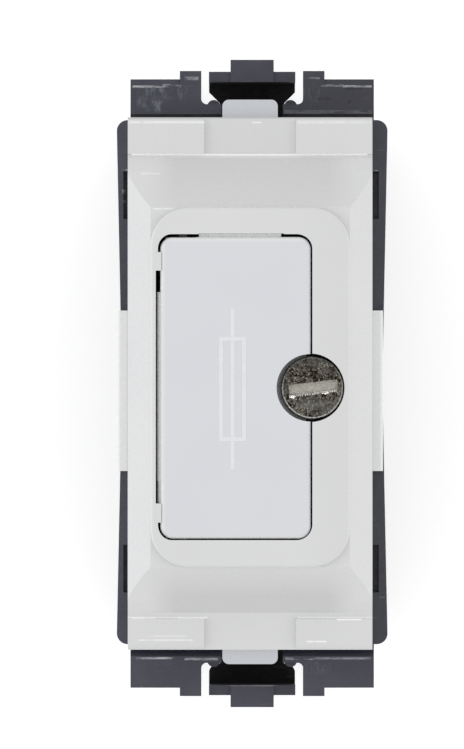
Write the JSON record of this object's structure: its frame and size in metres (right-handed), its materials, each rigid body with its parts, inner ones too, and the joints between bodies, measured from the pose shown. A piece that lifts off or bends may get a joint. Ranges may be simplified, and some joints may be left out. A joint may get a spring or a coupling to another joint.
{
  "type": "fused spur unit",
  "caption": "Grid-frame fused connection unit: dark clip-in base, white front shell, and a hinged cartridge-fuse carrier held shut by a slotted captive screw.",
  "frame": {"origin": "centre of the rear face, at the bottom of the part's box", "axes": "+Z out of the front face, +Y up along the long side as fitted, +X to the right seen from the front"},
  "size_m": [0.025, 0.06, 0.033],
  "materials": {
    "dark_plastic": "satin charcoal moulding",
    "cover_plastic": "satin charcoal moulding",
    "white_plastic": "semi-gloss white moulding",
    "carrier_plastic": "semi-gloss cool white moulding",
    "ceramic": "unglazed ceramic tube",
    "plated_cap": "nickel plated",
    "plated_steel": "worn zinc plate, rough",
    "ring_steel": "spring steel",
    "brass": "machined",
    "contact_metal": "tinned copper alloy",
    "rivet_brass": "formed head",
    "clamp_steel": "yellow passivated zinc plate"
  },
  "bodies": {
    "base": {"base_moulding": "dark_plastic", "rear_cover": "cover_plastic", "front_shell": "white_plastic", "threaded_insert": "brass", "contact_supply": "contact_metal", "contact_load": "contact_metal", "contact_rivet_supply": "rivet_brass", "contact_rivet_load": "rivet_brass", "terminal_supply": "brass", "terminal_load": "brass"},
    "carrier": {"fuse_carrier": "carrier_plastic", "fuse_tube": "ceramic", "fuse_cap_upper": "plated_cap", "fuse_cap_lower": "plated_cap"},
    "screw_ring": {"retaining_washer": "ring_steel"},
    "screw": {"carrier_screw": "plated_steel"},
    "supply_pad": {"clamp_pad_supply": "clamp_steel"},
    "supply_clamp": {"terminal_screw_supply": "clamp_steel"},
    "load_pad": {"clamp_pad_load": "clamp_steel"},
    "load_clamp": {"terminal_screw_load": "clamp_steel"}
  },
  "joints": [
    {"name": "carrier_swing", "type": "hinge", "parent": "base", "child": "carrier", "pos_m": [-0.00644, 0, 0.03155], "axis": [0, -1, 0], "range_deg": [0, 90]},
    {"name": "carrier_screw_travel", "type": "slide", "parent": "carrier", "child": "screw_ring", "axis": [0, 0, 1], "range_m": [0, 0.00204]},
    {"name": "carrier_screw_turn", "type": "hinge", "parent": "screw_ring", "child": "screw", "pos_m": [0.00553, -0.00039, 0.03], "axis": [0, 0, 1], "range_deg": [0, 1224]},
    {"name": "supply_clamp_travel", "type": "slide", "parent": "base", "child": "supply_pad", "axis": [0, 0, 1], "range_m": [0, 0.003]},
    {"name": "supply_clamp_turn", "type": "hinge", "parent": "supply_pad", "child": "supply_clamp", "pos_m": [-0.007, 0.017, 0.004], "axis": [0, 0, 1], "range_deg": [0, 1800]},
    {"name": "load_clamp_travel", "type": "slide", "parent": "base", "child": "load_pad", "axis": [0, 0, 1], "range_m": [0, 0.003]},
    {"name": "load_clamp_turn", "type": "hinge", "parent": "load_pad", "child": "load_clamp", "pos_m": [-0.007, -0.017, 0.004], "axis": [0, 0, 1], "range_deg": [0, 1800]}
  ],
  "couplings": [
    {"joint": "carrier_screw_turn", "follows": "carrier_screw_travel", "rad_per_m": 10472},
    {"joint": "supply_clamp_turn", "follows": "supply_clamp_travel", "rad_per_m": 10472},
    {"joint": "load_clamp_turn", "follows": "load_clamp_travel", "rad_per_m": 10472}
  ]
}
